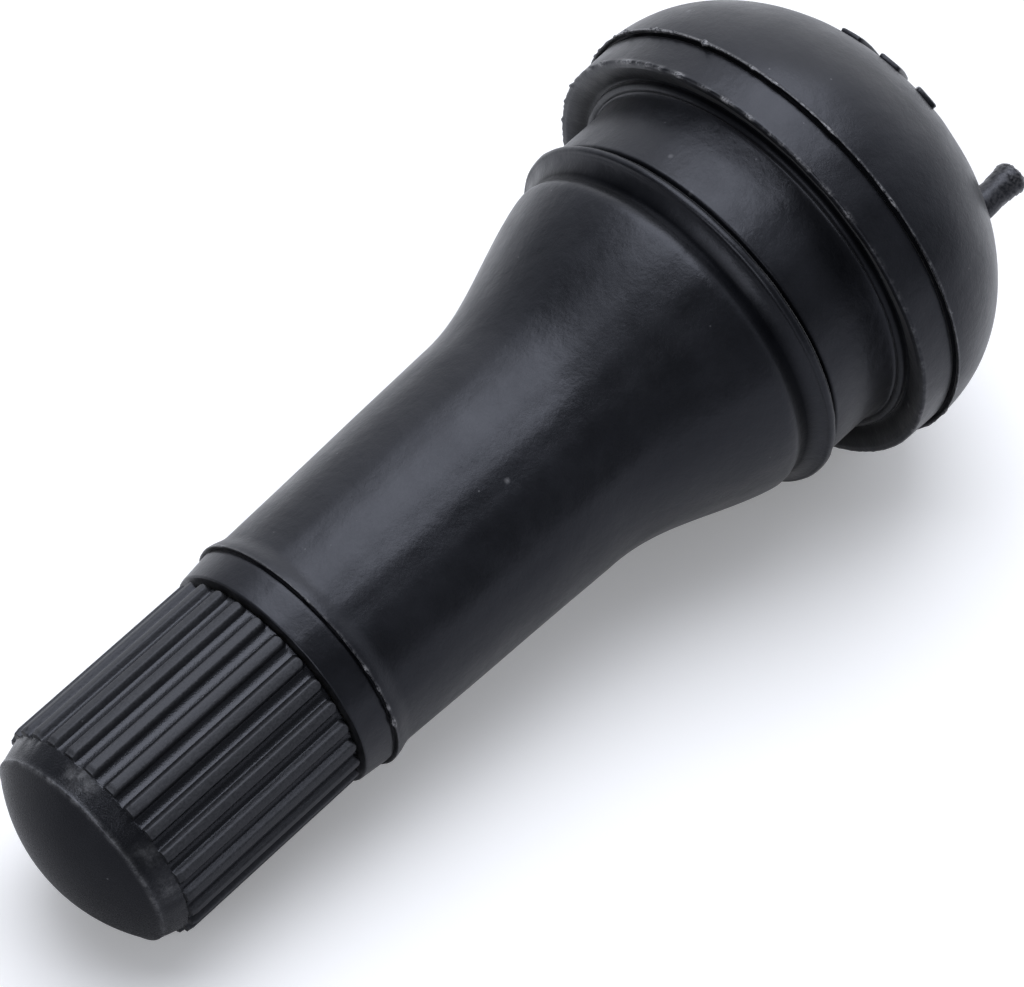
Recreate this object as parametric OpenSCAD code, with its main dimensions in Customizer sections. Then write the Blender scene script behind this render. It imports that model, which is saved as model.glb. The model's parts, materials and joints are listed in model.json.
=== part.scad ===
// Snap-in rubber tyre valve for a car wheel, with its screw cap on, lying on its side.
// Every piece is drawn upright, with the valve's axis on Z, the head's underside at
// height 0 and the cap at the top. The last step lays it down on the head and the cap.

/* [Head] */
// Diameter of the head at its moulding line
head_d = 19.1; // [18.4:0.1:20.5]
// Diameter of the head at the edge of its underside
underside_d = 18.6; // [17.8:0.1:18.9]
// Height of the head's side, from the underside to the moulding line
side_h = 1.65; // [1.2:0.05:2.4]
// Height of the dome, from the moulding line to where its pole would be
dome_h = 7.1; // [6:0.1:8.5]
// Fullness of the dome, where 2 is an ellipse and more is squarer
dome_fullness = 2.1; // [2:0.05:2.6]
// Height of the pole that is cut off to leave a flat base
base_cut = 0.55; // [0.4:0.05:0.9]
// Diameter of the air passage through the rubber
port_d = 4.4; // [3.6:0.1:5]
// Width of the bevel round the mouth of the air passage
port_bevel = 0.3; // [0.1:0.05:0.6]
// How far the dome's lip stands out over the side of the head
lip_step = 0.2; // [0.1:0.02:0.3]
// Width of the flat land at the edge of the underside, which seals on the wheel
land_w = 0.15; // [0.1:0.05:0.4]
// Depth of the dish inside that land, at the foot of the neck's bead
dish_depth = 0.35; // [0.25:0.05:0.6]
// Width of the flat at the bottom of the dish
dish_flat = 0.1; // [0.05:0.05:0.2]
// Rounding of the underside's outer edge
edge_r = 0.12; // [0.06:0.02:0.3]
// Turn of the rubber about the axis, which sets where its seam and its nib lie
rubber_turn = 1.837; // [-180:0.001:180]

/* [Vent nib] */
// Diameter of the nib that the mould's vent leaves on the dome
nib_d = 1.2; // [0.8:0.1:1.6]
// How far the nib's end stands below the flat base
nib_drop = 0.55; // [0.2:0.05:0.9]
// Distance of the nib from the valve's axis
nib_offset = 6.4; // [5.4:0.1:7.2]
// Direction of the nib round the axis, from the rubber's seam
nib_angle = -77; // [-180:1:180]
// Rounding of the nib's end
nib_round = 0.3; // [0.1:0.05:0.35]

/* [Neck and collar] */
// Diameter of the neck that fills the hole in the wheel
neck_d = 15.26; // [14.8:0.02:15.5]
// Diameter of the round bead where the neck flares onto the head, at the middle of the bead
bead_d = 15.9; // [15.7:0.05:16.2]
// Rounding of the bead
bead_r = 0.2; // [0.15:0.01:0.25]
// Distance of the bead's top below the edge of the underside
bead_sink = 0.05; // [0:0.01:0.1]
// Turn of the bead's round, from its outer side to the start of the flare
bead_turn = 130; // [100:5:150]
// Height of the flare from the bead to the neck
trumpet_h = 1; // [0.6:0.05:1.4]
// Diameter of the collar that holds the wheel's far side
collar_d = 15.78; // [15.6:0.02:16.2]
// Height of the collar's crown above the underside
collar_z = 3.45; // [3:0.05:4.2]
// Rounding of the collar's narrow crown
crown_r = 0.16; // [0.1:0.01:0.2]
// Height of the collar's steep back, on the head's side
collar_back = 0.3; // [0.2:0.05:0.6]
// Height of the collar's hollow front, from the crown to the crease
collar_front = 0.75; // [0.5:0.05:1.1]

/* [Stem] */
// Diameter of the flare at the crease in front of the collar
crease_d = 14.84; // [14.2:0.02:15.2]
// Length of the flare, from the crease to the slim stem
flare_len = 8.1; // [6.5:0.1:9.5]
// Share of the flare's curve that the collar hides, from 0 for a full round shoulder
flare_hidden = 0.13; // [0:0.01:0.3]
// Diameter of the slim stem at the end of the flare
stem_low_d = 10.54; // [10.3:0.02:11]
// Diameter of the slim stem below the step
stem_top_d = 9.8; // [9.7:0.02:10.1]
// Distance from the underside to the step near the cap
step_z = 23.63; // [22:0.1:27]
// Diameter of the thin lip at the step
lip_d = 10.16; // [10.14:0.02:10.5]
// Length of the swelling below the lip
lip_len = 0.9; // [0.5:0.1:1.5]
// Diameter of the band at the step
band_low_d = 9.86; // [9.7:0.02:10]
// Diameter of the band at the rubber's end
band_top_d = 9.6; // [9.3:0.02:9.68]
// Length of the band
band_len = 1.35; // [1:0.05:2]

/* [Brass stem] */
// Length of the brass that stands out of the rubber
exposed_len = 8; // [7.5:0.1:8.6]
// Plain length between the rubber's end and the outer thread
thread_relief = 0.6; // [0.3:0.05:1.2]
// Diameter of the shank in the rubber
shank_d = 7; // [6.6:0.1:7.2]
// Length of the brass stem from its tip to its foot
insert_len = 24.4; // [22:0.1:26]
// Diameter of the foot that anchors it
foot_d = 8.4; // [7.8:0.1:8.8]
// Thickness of the foot
foot_h = 1.4; // [1:0.1:2]
// Height of the slope from the foot to the shank
foot_rise = 0.35; // [0.1:0.05:0.8]
// Depth of the grip grooves round the shank
groove_depth = 0.35; // [0.2:0.05:0.5]
// Width of a grip groove
groove_w = 1; // [0.6:0.1:1.4]
// Height of each sloping side of a grip groove
groove_slope = 0.2; // [0.1:0.05:0.3]
// Distance from one grip groove to the next
groove_pitch = 2.6; // [2:0.1:4]
// Bevel at the tip
tip_bevel = 0.4; // [0.2:0.05:0.6]
// Bevel at the mouth of the core's bore
mouth_bevel = 0.2; // [0.1:0.05:0.3]
// Diameter of the bore that takes the core
core_bore_d = 5.24; // [5.1:0.02:5.3]
// Depth of that bore from the tip
core_bore_len = 6; // [5.6:0.1:6.4]
// Height of the cone that the core's gasket seals on
seat_h = 1; // [0.8:0.1:1.2]
// Diameter of the bore below the cone
lower_bore_d = 4.2; // [4.1:0.02:4.3]

/* [Valve core] */
// Running gap round the pieces of the core
core_gap = 0.06; // [0.03:0.01:0.1]
// Length of the threaded plug
plug_len = 2.9; // [2.4:0.1:3]
// Width of the plug across its two air flats
plug_flats = 3.8; // [3.4:0.1:4.2]
// Height of the bridge that the core key turns
bridge_h = 1; // [0.8:0.1:1.2]
// Thickness of the bridge
bridge_w = 2; // [1.9:0.1:2.4]
// Gap between the ends of the bridge and the bore
bridge_gap = 0.24; // [0.1:0.02:0.4]
// Diameter of the barrel's swivel in the plug
swivel_d = 2.7; // [2.4:0.1:3]
// Length of the swivel
swivel_len = 0.72; // [0.5:0.02:1]
// Room over the swivel in the plug
swivel_room = 0.24; // [0.1:0.02:0.4]
// Height of the gasket's foot above the foot of the sealing cone
gasket_lift = 0.2; // [0.1:0.05:0.4]
// Height of the gasket
gasket_h = 1.2; // [1:0.1:1.4]
// Diameter of the barrel under the gasket
gasket_in_d = 3.5; // [3.4:0.1:3.6]
// Height of the barrel's flange above the gasket
flange_h = 0.5; // [0.4:0.1:0.7]
// Gap round the flange
flange_gap = 0.12; // [0.06:0.02:0.2]
// Gap round the barrel in the lower bore
barrel_gap = 0.15; // [0.1:0.01:0.2]
// Bevel at the barrel's lower edge
barrel_bevel = 0.2; // [0.1:0.05:0.4]
// Length of the barrel below the sealing cone
barrel_len = 4.8; // [4.4:0.1:6]
// Thickness of the barrel's floor
barrel_floor = 0.8; // [0.6:0.1:1.2]
// Thickness of the barrel's roof over the spring chamber
barrel_roof = 0.4; // [0.3:0.05:0.6]
// Diameter of the spring chamber in the barrel
chamber_d = 2.8; // [2.7:0.05:3]
// Diameter of the air hole through the barrel's floor
floor_hole_d = 2; // [1.8:0.1:2.2]
// Diameter of the pin
pin_d = 1.3; // [1.1:0.05:1.35]
// Distance of the pin's top below the tip of the stem
pin_recess = 0.35; // [0.2:0.05:0.6]
// Diameter of the pin's shoulder, which the spring pushes up
shoulder_d = 2.4; // [2.3:0.05:2.5]
// Thickness of the pin's shoulder
shoulder_h = 0.5; // [0.4:0.1:0.7]
// Gap over the shoulder when the valve is shut
shoulder_gap = 0.3; // [0.2:0.05:0.4]
// Thickness of the poppet's rubber seal
seal_h = 0.9; // [0.7:0.1:1.2]
// Height of the seal's edge over the rim of the cup
seal_stand = 0.3; // [0.2:0.05:0.5]
// Bevel round the seal's top
seal_bevel = 0.2; // [0.1:0.05:0.3]
// Diameter of the poppet's cup
cup_d = 3.5; // [3.4:0.05:3.7]
// Wall of the poppet's cup
cup_wall = 0.2; // [0.15:0.05:0.3]
// Thickness of the cup's floor
cup_floor = 0.5; // [0.4:0.1:0.7]
// Diameter of the spring's wire
wire_d = 0.3; // [0.24:0.02:0.32]
// Number of turns of the spring
spring_turns = 6; // [4:1:8]

/* [Cap] */
// Diameter over the cap's ribs
rib_d = 9.36; // [9.2:0.02:9.8]
// Depth of the grooves between the ribs
rib_depth = 0.28; // [0.15:0.01:0.32]
// Wall of the cap under the grooves
skirt_wall = 0.45; // [0.35:0.01:0.6]
// Number of ribs
rib_count = 28; // [24:1:32]
// Width of a rib
rib_w = 0.62; // [0.4:0.02:0.7]
// Gap between the rubber's end and the cap
cap_gap = 0.15; // [0.1:0.05:0.4]
// Distance from the cap's open end to the round ends of the ribs
rib_start = 0.05; // [0.05:0.05:0.6]
// Fall of the ribs' tops towards their ends
rib_fall = 0.14; // [0.06:0.02:0.2]
// Length of the cap's ribbed part, from its open end
skirt_len = 8.3; // [8:0.05:9]
// Height of the bevelled ring's foot over the grooves
bevel_stand = 0.03; // [0.02:0.01:0.14]
// Height of the bevelled ring past the ribs
bevel_h = 0.98; // [0.7:0.02:1.2]
// Diameter of the bevelled ring at the edge of the cap's dome
bevel_d = 8.24; // [7.9:0.02:8.5]
// Height of the cap's dome
cap_dome_h = 1.37; // [0.9:0.01:1.8]
// Running gap between the cap and the brass thread
thread_gap = 0.1; // [0.06:0.01:0.14]
// Thickness of the sealing washer in the cap
washer_h = 0.6; // [0.4:0.05:0.8]
// Gap round the sealing washer
washer_gap = 0.25; // [0.1:0.05:0.5]
// Hole in the sealing washer, over the pin
washer_hole_d = 2.4; // [1.8:0.1:3]
// Depth of the hollow over the washer
hollow_h = 0.9; // [0.5:0.05:1]
// Diameter of that hollow
hollow_d = 5; // [4:0.1:5.6]

/* [Hidden] */
$fn = 96;
// Gap between faces that touch
touch = 0.02;
// How far a cut runs past the face that it opens
past = 1;
// Steps in each curved stretch of an outline
steps = 10;

// Heights along the axis
base_z = -side_h - dome_h + base_cut;
crease_z = collar_z + collar_front;
band_z = step_z + band_len;
tip_z = band_z + exposed_len;
foot_z = tip_z - insert_len;
thread_z = band_z + thread_relief;
seat_top = tip_z - core_bore_len;
seat_low = seat_top - seat_h;
gasket_low = seat_low + gasket_lift;
gasket_top = gasket_low + gasket_h;
flange_top = gasket_top + flange_h;
plug_top = flange_top + touch + plug_len;
bridge_top = plug_top + bridge_h;
pin_top = tip_z - pin_recess;
barrel_low = seat_low - barrel_len;
chamber_low = barrel_low + barrel_floor;
chamber_top = flange_top - barrel_roof;
shoulder_top = chamber_top - shoulder_gap;
shoulder_low = shoulder_top - shoulder_h;
seal_top = barrel_low - touch;
seal_low = seal_top - seal_h;
cup_low = seal_low - cup_floor;
rivet_low = cup_low - cup_floor;
cap_low = band_z + cap_gap;
rib_top = cap_low + skirt_len;
bevel_top = rib_top + bevel_h;
washer_low = tip_z + touch;
roof_z = washer_low + washer_h + touch;

// Radii that several pieces share
port_r = port_d / 2;
land_r = underside_d / 2 - edge_r - land_w;
bead_out_r = bead_d / 2 + bead_r;
neck_r = neck_d / 2;
collar_r = collar_d / 2;
crease_r = crease_d / 2;
shank_r = shank_d / 2;
core_bore_r = core_bore_d / 2;
lower_bore_r = lower_bore_d / 2;
pin_r = pin_d / 2;
pin_hole_r = pin_r + core_gap;
swivel_r = swivel_d / 2;
barrel_r = lower_bore_r - barrel_gap;
cup_r = cup_d / 2;
groove_floor_r = rib_d / 2 - rib_depth;
cap_bore_r = groove_floor_r - skirt_wall;
thread_r = cap_bore_r - thread_gap;

// Slope of the axis when the head's widest ring and the ribs' far ends rest on one floor
lay_angle = atan((head_d - rib_d) / 2 / (rib_top + side_h));

// A quarter of an ellipse about a centre, from one angle to another
function arc(centre, size, from, to) =
    [for (i = [0:steps])
        let (a = from + (to - from) * i / steps)
        [centre.x + size.x * cos(a), centre.y + size.y * sin(a)]];

// The dome's outline, a superellipse, from its flat base up to the moulding line
dome_end = asin(pow((dome_h - base_cut) / dome_h, dome_fullness / 2));
function dome_line() =
    [for (i = [0:2 * steps])
        let (a = dome_end * (1 - i / (2 * steps)))
        [head_d / 2 * pow(cos(a), 2 / dome_fullness),
            -side_h - dome_h * pow(sin(a), 2 / dome_fullness)]];

// The underside: round edge, narrow land, shallow dish, the bead, then the trumpet up to the neck
bead_z = -bead_r - bead_sink;
bead_end = [bead_d / 2 + bead_r * cos(bead_turn), bead_z + bead_r * sin(bead_turn)];
function underside_line() = concat(
    arc([underside_d / 2 - edge_r, -edge_r], [edge_r, edge_r], 0, 90),
    [[land_r, 0], [bead_out_r + dish_flat, -dish_depth], [bead_out_r, -dish_depth]],
    arc([bead_d / 2, bead_z], [bead_r, bead_r], 0, bead_turn),
    arc([bead_end.x, bead_end.y + trumpet_h], [bead_end.x - neck_r, trumpet_h], 270, 180));

// The collar: a steep back, a narrow round crown, then a hollow front down to the crease
crown_from = -70;
crown_to = 60;
crown_x = collar_r - crown_r;
crown_end = [crown_x + crown_r * cos(crown_to), collar_z + crown_r * sin(crown_to)];
function collar_line() = concat(
    [[neck_r, collar_z - collar_back]],
    arc([crown_x, collar_z], [crown_r, crown_r], crown_from, crown_to),
    [for (i = [1:steps])
        let (a = 90 * i / steps)
        [crown_end.x - (crown_end.x - crease_r) * sin(a), crease_z - (crease_z - crown_end.y) * cos(a)]]);

// The flare: a cosine fall from the crease to the slim stem
function fall(share) = (1 + cos(180 * share)) / 2;
function flare_line() =
    [for (i = [1:2 * steps])
        let (share = flare_hidden + (1 - flare_hidden) * i / (2 * steps))
        [stem_low_d / 2 + (crease_r - stem_low_d / 2) * fall(share) / fall(flare_hidden),
            crease_z + flare_len * i / (2 * steps)]];

// The slim stem's taper, its swelling to the lip, the step and the band
function stem_line() = concat(
    [for (i = [0:steps])
        let (rise = fall(1 - i / steps))
        [stem_top_d / 2 + (lip_d - stem_top_d) / 2 * rise, step_z - lip_len * (1 - i / steps)]],
    [[band_low_d / 2, step_z], [band_top_d / 2, band_z]]);

// The brass stem's outside in the rubber, from the foot up to where the thread starts
groove_low = foot_z + foot_h + groove_w;
groove_count = floor((step_z - groove_low) / groove_pitch);
groove_edges = [[0, 0], [groove_depth, groove_slope], [groove_depth, groove_w - groove_slope], [0, groove_w]];
function shank_line() = concat(
    [[foot_d / 2, foot_z], [foot_d / 2, foot_z + foot_h], [shank_r, foot_z + foot_h + foot_rise]],
    [for (i = [0:groove_count - 1], edge = groove_edges)
        [shank_r - edge.x, groove_low + groove_pitch * i + edge.y]]);

// The same line read from its last point to its first
function reversed(line) = [for (i = [len(line) - 1:-1:0]) line[i]];

// Round-ended nib that the mould's vent leaves on the dome
module vent_nib() {
    nib_h = nib_drop + dome_h / 2;
    rotate([0, 0, nib_angle])
        translate([nib_offset, 0, base_z - nib_drop])
            rotate_extrude()
                polygon(concat(
                    [[0, 0]],
                    arc([nib_d / 2 - nib_round, nib_round], [nib_round, nib_round], -90, 0),
                    [[nib_d / 2, nib_h], [0, nib_h]]));
}

// One moulded piece: head, neck, collar, stem and band, bonded round the brass
module rubber_body() {
    color("#2b2d31")
        rotate([0, 0, rubber_turn]) {
            rotate_extrude()
                polygon(concat(
                    [[port_r + port_bevel, base_z]],
                    dome_line(),
                    [[head_d / 2 - lip_step, -side_h]],
                    underside_line(),
                    collar_line(),
                    flare_line(),
                    stem_line(),
                    [[shank_r, band_z]],
                    reversed(shank_line()),
                    [[port_r, foot_z], [port_r, base_z + port_bevel]]));
            vent_nib();
        }
}

// Turned brass tube with the cap's thread outside and the core's seat inside
module brass_stem() {
    color("#b8923f")
        rotate_extrude()
            polygon(concat(
                [[port_r, foot_z]],
                shank_line(),
                [[shank_r, thread_z - abs(thread_r - shank_r)], [thread_r, thread_z],
                    [thread_r, tip_z - tip_bevel], [thread_r - tip_bevel, tip_z],
                    [core_bore_r + mouth_bevel, tip_z], [core_bore_r, tip_z - mouth_bevel],
                    [core_bore_r, seat_top], [lower_bore_r, seat_low],
                    [lower_bore_r, foot_z + foot_h]]));
}

// Threaded plug of the core, with air flats, a key bridge and a socket for the barrel's swivel
module core_plug() {
    color("#c9a552")
        difference() {
            union() {
                intersection() {
                    translate([0, 0, flange_top + touch])
                        cylinder(r = core_bore_r - core_gap, h = plug_len);
                    translate([-plug_flats / 2, -core_bore_r, flange_top])
                        cube([plug_flats, core_bore_d, plug_len + past]);
                }
                intersection() {
                    translate([0, 0, plug_top - touch])
                        cylinder(r = core_bore_r - bridge_gap, h = bridge_h + touch);
                    translate([-bridge_w / 2, -core_bore_r, plug_top - past])
                        cube([bridge_w, core_bore_d, bridge_h + 2 * past]);
                }
            }
            translate([0, 0, flange_top - past])
                cylinder(r = swivel_r + core_gap, h = past + swivel_len + swivel_room);
            translate([0, 0, flange_top])
                cylinder(r = pin_hole_r, h = plug_len + bridge_h + past);
        }
}

// Barrel that hangs from the plug, carries the gasket and holds the spring
module core_barrel() {
    color("#c9a552")
        rotate_extrude()
            polygon([
                [floor_hole_d / 2, barrel_low], [barrel_r - barrel_bevel, barrel_low],
                [barrel_r, barrel_low + barrel_bevel], [barrel_r, gasket_low],
                [gasket_in_d / 2, gasket_low], [gasket_in_d / 2, gasket_top],
                [core_bore_r - flange_gap, gasket_top], [core_bore_r - flange_gap, flange_top],
                [swivel_r, flange_top], [swivel_r, flange_top + swivel_len],
                [pin_hole_r, flange_top + swivel_len], [pin_hole_r, chamber_top],
                [chamber_d / 2, chamber_top], [chamber_d / 2, chamber_low],
                [floor_hole_d / 2, chamber_low]]);
}

// Tapered gasket that seals the barrel against the cone in the brass stem
module core_gasket() {
    cone = (core_bore_r - lower_bore_r) / seat_h;
    gasket_r = core_bore_r - core_gap;
    knee_z = seat_low + (gasket_r + touch - lower_bore_r) / cone;
    color("#a33a30")
        rotate_extrude()
            polygon([
                [gasket_in_d / 2, gasket_low], [lower_bore_r + cone * gasket_lift - touch, gasket_low],
                [gasket_r, knee_z], [gasket_r, gasket_top], [gasket_in_d / 2, gasket_top]]);
}

// A wire of round section wound along the axis, as rings of points joined by side faces
module wound_wire(radius, wire_r, low, high, turns) {
    sides = 8;
    per_turn = 16;
    rings = turns * per_turn;
    slope = atan((high - low) / turns / (2 * PI * radius));
    points = [for (i = [0:rings], j = [0:sides - 1])
        let (turn = 360 * i / per_turn)
        let (a = 360 * j / sides)
        let (out = radius + wire_r * cos(a))
        let (along = wire_r * sin(a) * sin(slope))
        [out * cos(turn) + along * sin(turn), out * sin(turn) - along * cos(turn),
            low + (high - low) * i / rings + wire_r * sin(a) * cos(slope)]];
    walls = [for (i = [0:rings - 1], j = [0:sides - 1])
        let (next = (j + 1) % sides)
        [i * sides + j, i * sides + next, (i + 1) * sides + next, (i + 1) * sides + j]];
    first = [for (j = [sides - 1:-1:0]) j];
    last = [for (j = [0:sides - 1]) rings * sides + j];
    polyhedron(points, concat([first], [last], [for (w = walls) reversed(w)]), convexity = 10);
}

// Spring that pushes the pin up, between the barrel's floor and the pin's shoulder
module core_spring() {
    color("#9aa0a6")
        wound_wire((chamber_d / 2 + pin_r) / 2, wire_d / 2, chamber_low + wire_d / 2 + touch,
            shoulder_low - wire_d / 2 - touch, spring_turns);
}

// Pin with a round top, a shoulder for the spring and a riveted end below the poppet
module core_pin() {
    color("#c2b280")
        rotate_extrude()
            polygon(concat(
                [[0, rivet_low], [pin_r + cup_wall, rivet_low + cup_floor / 2], [pin_r + cup_wall, cup_low],
                    [pin_r, cup_low], [pin_r, shoulder_low], [shoulder_d / 2, shoulder_low],
                    [shoulder_d / 2, shoulder_top], [pin_r, shoulder_top]],
                arc([0, pin_top - pin_r], [pin_r, pin_r], 0, 90)));
}

// Cup on the pin's end that holds the poppet's seal
module core_poppet() {
    color("#c9a552")
        rotate_extrude()
            polygon([
                [pin_r, cup_low], [cup_r, cup_low], [cup_r, seal_top - seal_stand],
                [cup_r - cup_wall, seal_top - seal_stand], [cup_r - cup_wall, seal_low],
                [pin_r, seal_low]]);
}

// Rubber ring in the cup that closes the barrel's lower end
module poppet_seal() {
    color("#1d1d1f")
        rotate_extrude()
            polygon([
                [pin_r, seal_low], [cup_r - cup_wall, seal_low],
                [cup_r - cup_wall, seal_top - seal_bevel], [cup_r - cup_wall - seal_bevel, seal_top],
                [pin_r, seal_top]]);
}

// One grip rib: a bar with a round end towards the cap's open end
module rib() {
    bar_low = cap_low + rib_start + rib_w / 2;
    translate([cap_bore_r, -rib_w / 2, bar_low])
        cube([rib_d / 2, rib_w, rib_top - bar_low]);
    translate([cap_bore_r, 0, bar_low])
        rotate([0, 90, 0])
            cylinder(d = rib_w, h = rib_d / 2);
}

// Screw cap: ribbed skirt, bevelled ring, low dome and a stepped bore
module cap() {
    dome_r = (pow(bevel_d / 2, 2) + pow(cap_dome_h, 2)) / (2 * cap_dome_h);
    dome_half = asin(bevel_d / 2 / dome_r);
    bevel_low_r = groove_floor_r + bevel_stand;
    color("#26272a")
        difference() {
            union() {
                rotate_extrude()
                    polygon(concat(
                        [[0, cap_low], [groove_floor_r, cap_low], [groove_floor_r, rib_top],
                            [bevel_low_r, rib_top]],
                        arc([0, bevel_top + cap_dome_h - dome_r], [dome_r, dome_r], 90 - dome_half, 90)));
                intersection() {
                    for (i = [0:rib_count - 1])
                        rotate([0, 0, 360 * (i + 0.5) / rib_count])
                            rib();
                    rotate_extrude()
                        polygon([
                            [0, cap_low], [rib_d / 2 - rib_fall, cap_low],
                            [rib_d / 2, cap_low + rib_start + rib_w / 2],
                            [rib_d / 2, rib_top - rib_fall], [bevel_low_r, rib_top], [0, rib_top]]);
                }
            }
            translate([0, 0, cap_low - past])
                cylinder(r = cap_bore_r, h = past + roof_z - cap_low);
            translate([0, 0, roof_z - past])
                cylinder(d = hollow_d, h = past + hollow_h);
        }
}

// Rubber washer between the cap's roof and the tip of the brass stem
module cap_washer() {
    color("#3a3a3c")
        translate([0, 0, washer_low])
            difference() {
                cylinder(r = cap_bore_r - washer_gap, h = washer_h);
                translate([0, 0, -past])
                    cylinder(d = washer_hole_d, h = washer_h + 2 * past);
            }
}

// Lays an upright piece down, with the cap towards -X and both ends on one level floor
module laid() {
    rotate([0, -90 - lay_angle, 0])
        children();
}

laid() rubber_body();
laid() brass_stem();
laid() core_plug();
laid() core_barrel();
laid() core_gasket();
laid() core_spring();
laid() core_pin();
laid() core_poppet();
laid() poppet_seal();
laid() cap();
laid() cap_washer();
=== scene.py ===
"""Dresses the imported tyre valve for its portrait: one moulded rubber skin with its mould lines,
flash, raised bars and vent nib, a ribbed screw cap with its inner thread, a turned brass stem with
rolled threads, and finishes for the pieces of the valve core that keep their CAD shapes.

Every new surface is worked out upright, in millimetres, with the valve's axis on z, the head's
underside at z = 0 and the cap at the top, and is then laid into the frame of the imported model.
"""
import json

import bpy
import numpy as np
from mathutils import Matrix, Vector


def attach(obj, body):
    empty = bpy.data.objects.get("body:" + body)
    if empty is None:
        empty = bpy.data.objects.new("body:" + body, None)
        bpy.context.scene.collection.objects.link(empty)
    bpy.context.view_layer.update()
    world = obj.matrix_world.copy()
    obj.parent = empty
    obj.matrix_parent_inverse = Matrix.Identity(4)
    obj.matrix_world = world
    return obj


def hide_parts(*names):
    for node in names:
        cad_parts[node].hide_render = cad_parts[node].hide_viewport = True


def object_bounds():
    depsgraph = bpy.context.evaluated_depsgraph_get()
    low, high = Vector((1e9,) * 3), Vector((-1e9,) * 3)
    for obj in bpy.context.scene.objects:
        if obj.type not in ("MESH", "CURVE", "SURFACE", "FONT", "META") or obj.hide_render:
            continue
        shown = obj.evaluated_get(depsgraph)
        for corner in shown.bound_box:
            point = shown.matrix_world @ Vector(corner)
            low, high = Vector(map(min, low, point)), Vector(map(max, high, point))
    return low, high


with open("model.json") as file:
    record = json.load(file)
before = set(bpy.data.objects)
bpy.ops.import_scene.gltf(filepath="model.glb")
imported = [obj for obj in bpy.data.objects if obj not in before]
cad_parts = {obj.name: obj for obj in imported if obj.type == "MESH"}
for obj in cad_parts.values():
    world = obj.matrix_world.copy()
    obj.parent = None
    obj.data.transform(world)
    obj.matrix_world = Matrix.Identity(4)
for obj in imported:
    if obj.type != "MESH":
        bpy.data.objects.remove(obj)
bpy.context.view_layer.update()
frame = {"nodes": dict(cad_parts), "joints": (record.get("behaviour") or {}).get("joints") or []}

MM = 0.001
ROUND = 2 * np.pi
AXIS = np.array(next(j for j in frame["joints"] if j["name"] == "cap_turn")["axis"], float)
SIDE = np.array([0.0, 1.0, 0.0])
UP = np.cross(SIDE, AXIS)

# Sizes in mm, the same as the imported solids. The head, from its base to its underside
HEAD_R, UNDERSIDE_R, SIDE_H = 9.55, 9.3, 1.65
DOME_H, DOME_FULLNESS, BASE_Z = 7.1, 2.1, -8.2
PORT_R, PORT_BEVEL = 2.2, 0.3
EDGE_R, LIP_STEP, LAND_W, DISH_DEPTH, DISH_FLAT = 0.12, 0.2, 0.15, 0.35, 0.1
BEAD_RING_R, BEAD_R, BEAD_SINK, BEAD_TURN = 7.95, 0.2, 0.05, 130.0
# The neck, the collar, the flared stem and the end band
NECK_R, TRUMPET_H = 7.63, 1.0
COLLAR_R, COLLAR_Z, COLLAR_BACK, CROWN_R, CROWN_FROM, CROWN_TO = 7.89, 3.45, 0.3, 0.16, -70, 60
CREASE_R, CREASE_Z, FLARE_LEN, FLARE_HIDDEN = 7.42, 4.2, 8.1, 0.13
STEM_LOW_R, STEM_TOP_R = 5.27, 4.9
LIP_R, LIP_LEN, STEP_Z = 5.08, 0.9, 23.63
BAND_LOW_R, BAND_TOP_R, BAND_Z, BAND_FOOT, BAND_ROUND = 4.93, 4.8, 24.98, 0.12, 0.08
RUBBER_TURN = np.radians(1.837)
# The vent nib
NIB_R, NIB_DROP, NIB_OFFSET, NIB_ROUND = 0.67, 0.55, 6.4, 0.18
NIB_WAIST, NIB_WAIST_AT, NIB_LEN = 0.09, 1.1, 3.2
NIB_ANGLE = np.radians(-77.0) + RUBBER_TURN
# The brass stem
SHANK_R, FOOT_R, FOOT_Z, FOOT_H, FOOT_RISE = 3.5, 4.2, 8.58, 1.4, 0.35
GROOVE_DEPTH, GROOVE_W, GROOVE_SLOPE, GROOVE_PITCH, GROOVE_COUNT = 0.35, 1.0, 0.2, 2.6, 4
THREAD_R, THREAD_Z, TIP_Z, TIP_BEVEL, MOUTH_BEVEL = 3.85, 25.58, 32.98, 0.4, 0.2
CORE_BORE_R, LOWER_BORE_R, SEAT_TOP, SEAT_LOW = 2.62, 2.1, 26.98, 25.98
PITCH, THREAD_DEPTH = 25.4 / 32, 0.45
CORE_PITCH, CORE_THREAD_DEPTH = 25.4 / 36, 0.16
# The cap
CAP_LOW, RIB_TOP, BEVEL_TOP, CAP_DOME_H = 25.13, 33.43, 34.41, 1.37
RIB_R, RIB_DEPTH, RIB_COUNT, RIB_W, RIB_START = 4.68, 0.28, 28, 0.62, 0.05
BEVEL_LOW_R, BEVEL_R = 4.43, 4.12
CAP_BORE_R, ROOF_Z, HOLLOW_R, HOLLOW_TOP = 3.95, 33.62, 2.5, 34.52

# Sizes in mm of what the scene adds to those shapes: the raised bars
BAR_HALF_W, BAR_HALF_LEN, BAR_MIDDLE_R, BAR_H, BAR_SUNK, BAR_EDGE = 0.5, 0.95, 5.5, 0.17, 0.25, 0.3
BARS_IN_GROUP, BAR_FIRST, BAR_APART = 3, np.radians(3.0), np.radians(17.2)
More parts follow.
